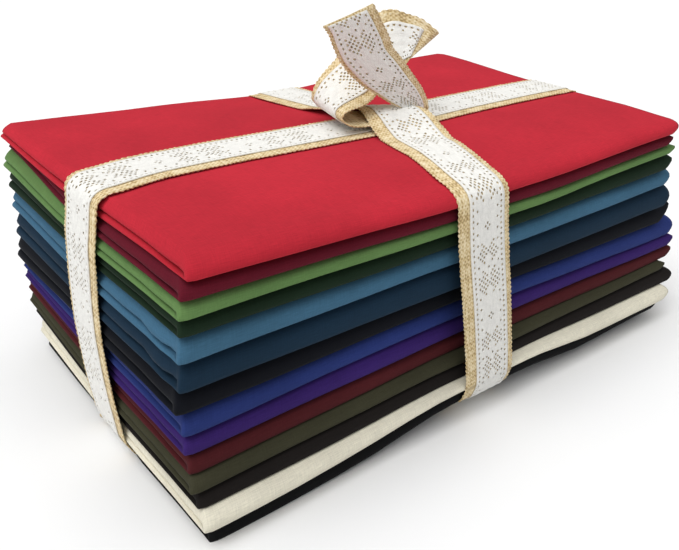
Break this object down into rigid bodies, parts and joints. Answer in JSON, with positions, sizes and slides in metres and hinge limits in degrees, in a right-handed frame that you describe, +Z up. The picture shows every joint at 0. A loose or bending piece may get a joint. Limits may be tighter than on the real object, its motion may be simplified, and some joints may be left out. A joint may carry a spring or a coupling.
{
  "type": "fat quarter bundle",
  "caption": "Stack of folded plain quilting cottons in graded colours, tied both ways with a burlap ribbon that carries a lace strip and ends in a small half bow.",
  "frame": {"origin": "on the surface the bundle lies on, under the middle of its bounding box", "axes": "+X along the long side of the folded cloths, +Y from the folded front towards the back, +Z up through the stack to the bow"},
  "size_m": [0.2494, 0.1542, 0.1393],
  "materials": {
    "cloth_red": "plain woven cotton, matt",
    "cloth_burgundy": "plain woven cotton, matt",
    "cloth_leaf_green": "plain woven cotton, matt",
    "cloth_forest_green": "plain woven cotton, matt",
    "cloth_steel_blue": "plain woven cotton, matt",
    "cloth_ink_blue": "plain woven cotton, matt",
    "cloth_blue_black": "plain woven cotton, matt",
    "cloth_royal_blue": "plain woven cotton, matt",
    "cloth_purple": "plain woven cotton, matt",
    "cloth_maroon": "plain woven cotton, matt",
    "cloth_olive": "plain woven cotton, matt",
    "cloth_dark_brown": "plain woven cotton, matt",
    "cloth_cream": "plain woven cotton, matt",
    "cloth_black": "plain woven cotton, matt",
    "ribbon_burlap": "loose plain-woven jute burlap, matt",
    "lace_long": "openwork cotton lace, matt",
    "lace_cross": "openwork cotton lace, matt",
    "lace_front_end": "openwork cotton lace, matt",
    "lace_back_end": "openwork cotton lace, matt"
  },
  "bodies": {
    "root": {"cloth_red": "cloth_red", "cloth_burgundy": "cloth_burgundy", "cloth_leaf_green": "cloth_leaf_green", "cloth_forest_green": "cloth_forest_green", "cloth_steel_blue": "cloth_steel_blue", "cloth_ink_blue": "cloth_ink_blue", "cloth_blue_black": "cloth_blue_black", "cloth_royal_blue": "cloth_royal_blue", "cloth_purple": "cloth_purple", "cloth_maroon": "cloth_maroon", "cloth_olive": "cloth_olive", "cloth_dark_brown": "cloth_dark_brown", "cloth_cream": "cloth_cream", "cloth_black": "cloth_black", "ribbon_burlap": "ribbon_burlap", "lace_long": "lace_long", "lace_cross": "lace_cross", "lace_front_end": "lace_front_end", "lace_back_end": "lace_back_end"}
  },
  "joints": []
}
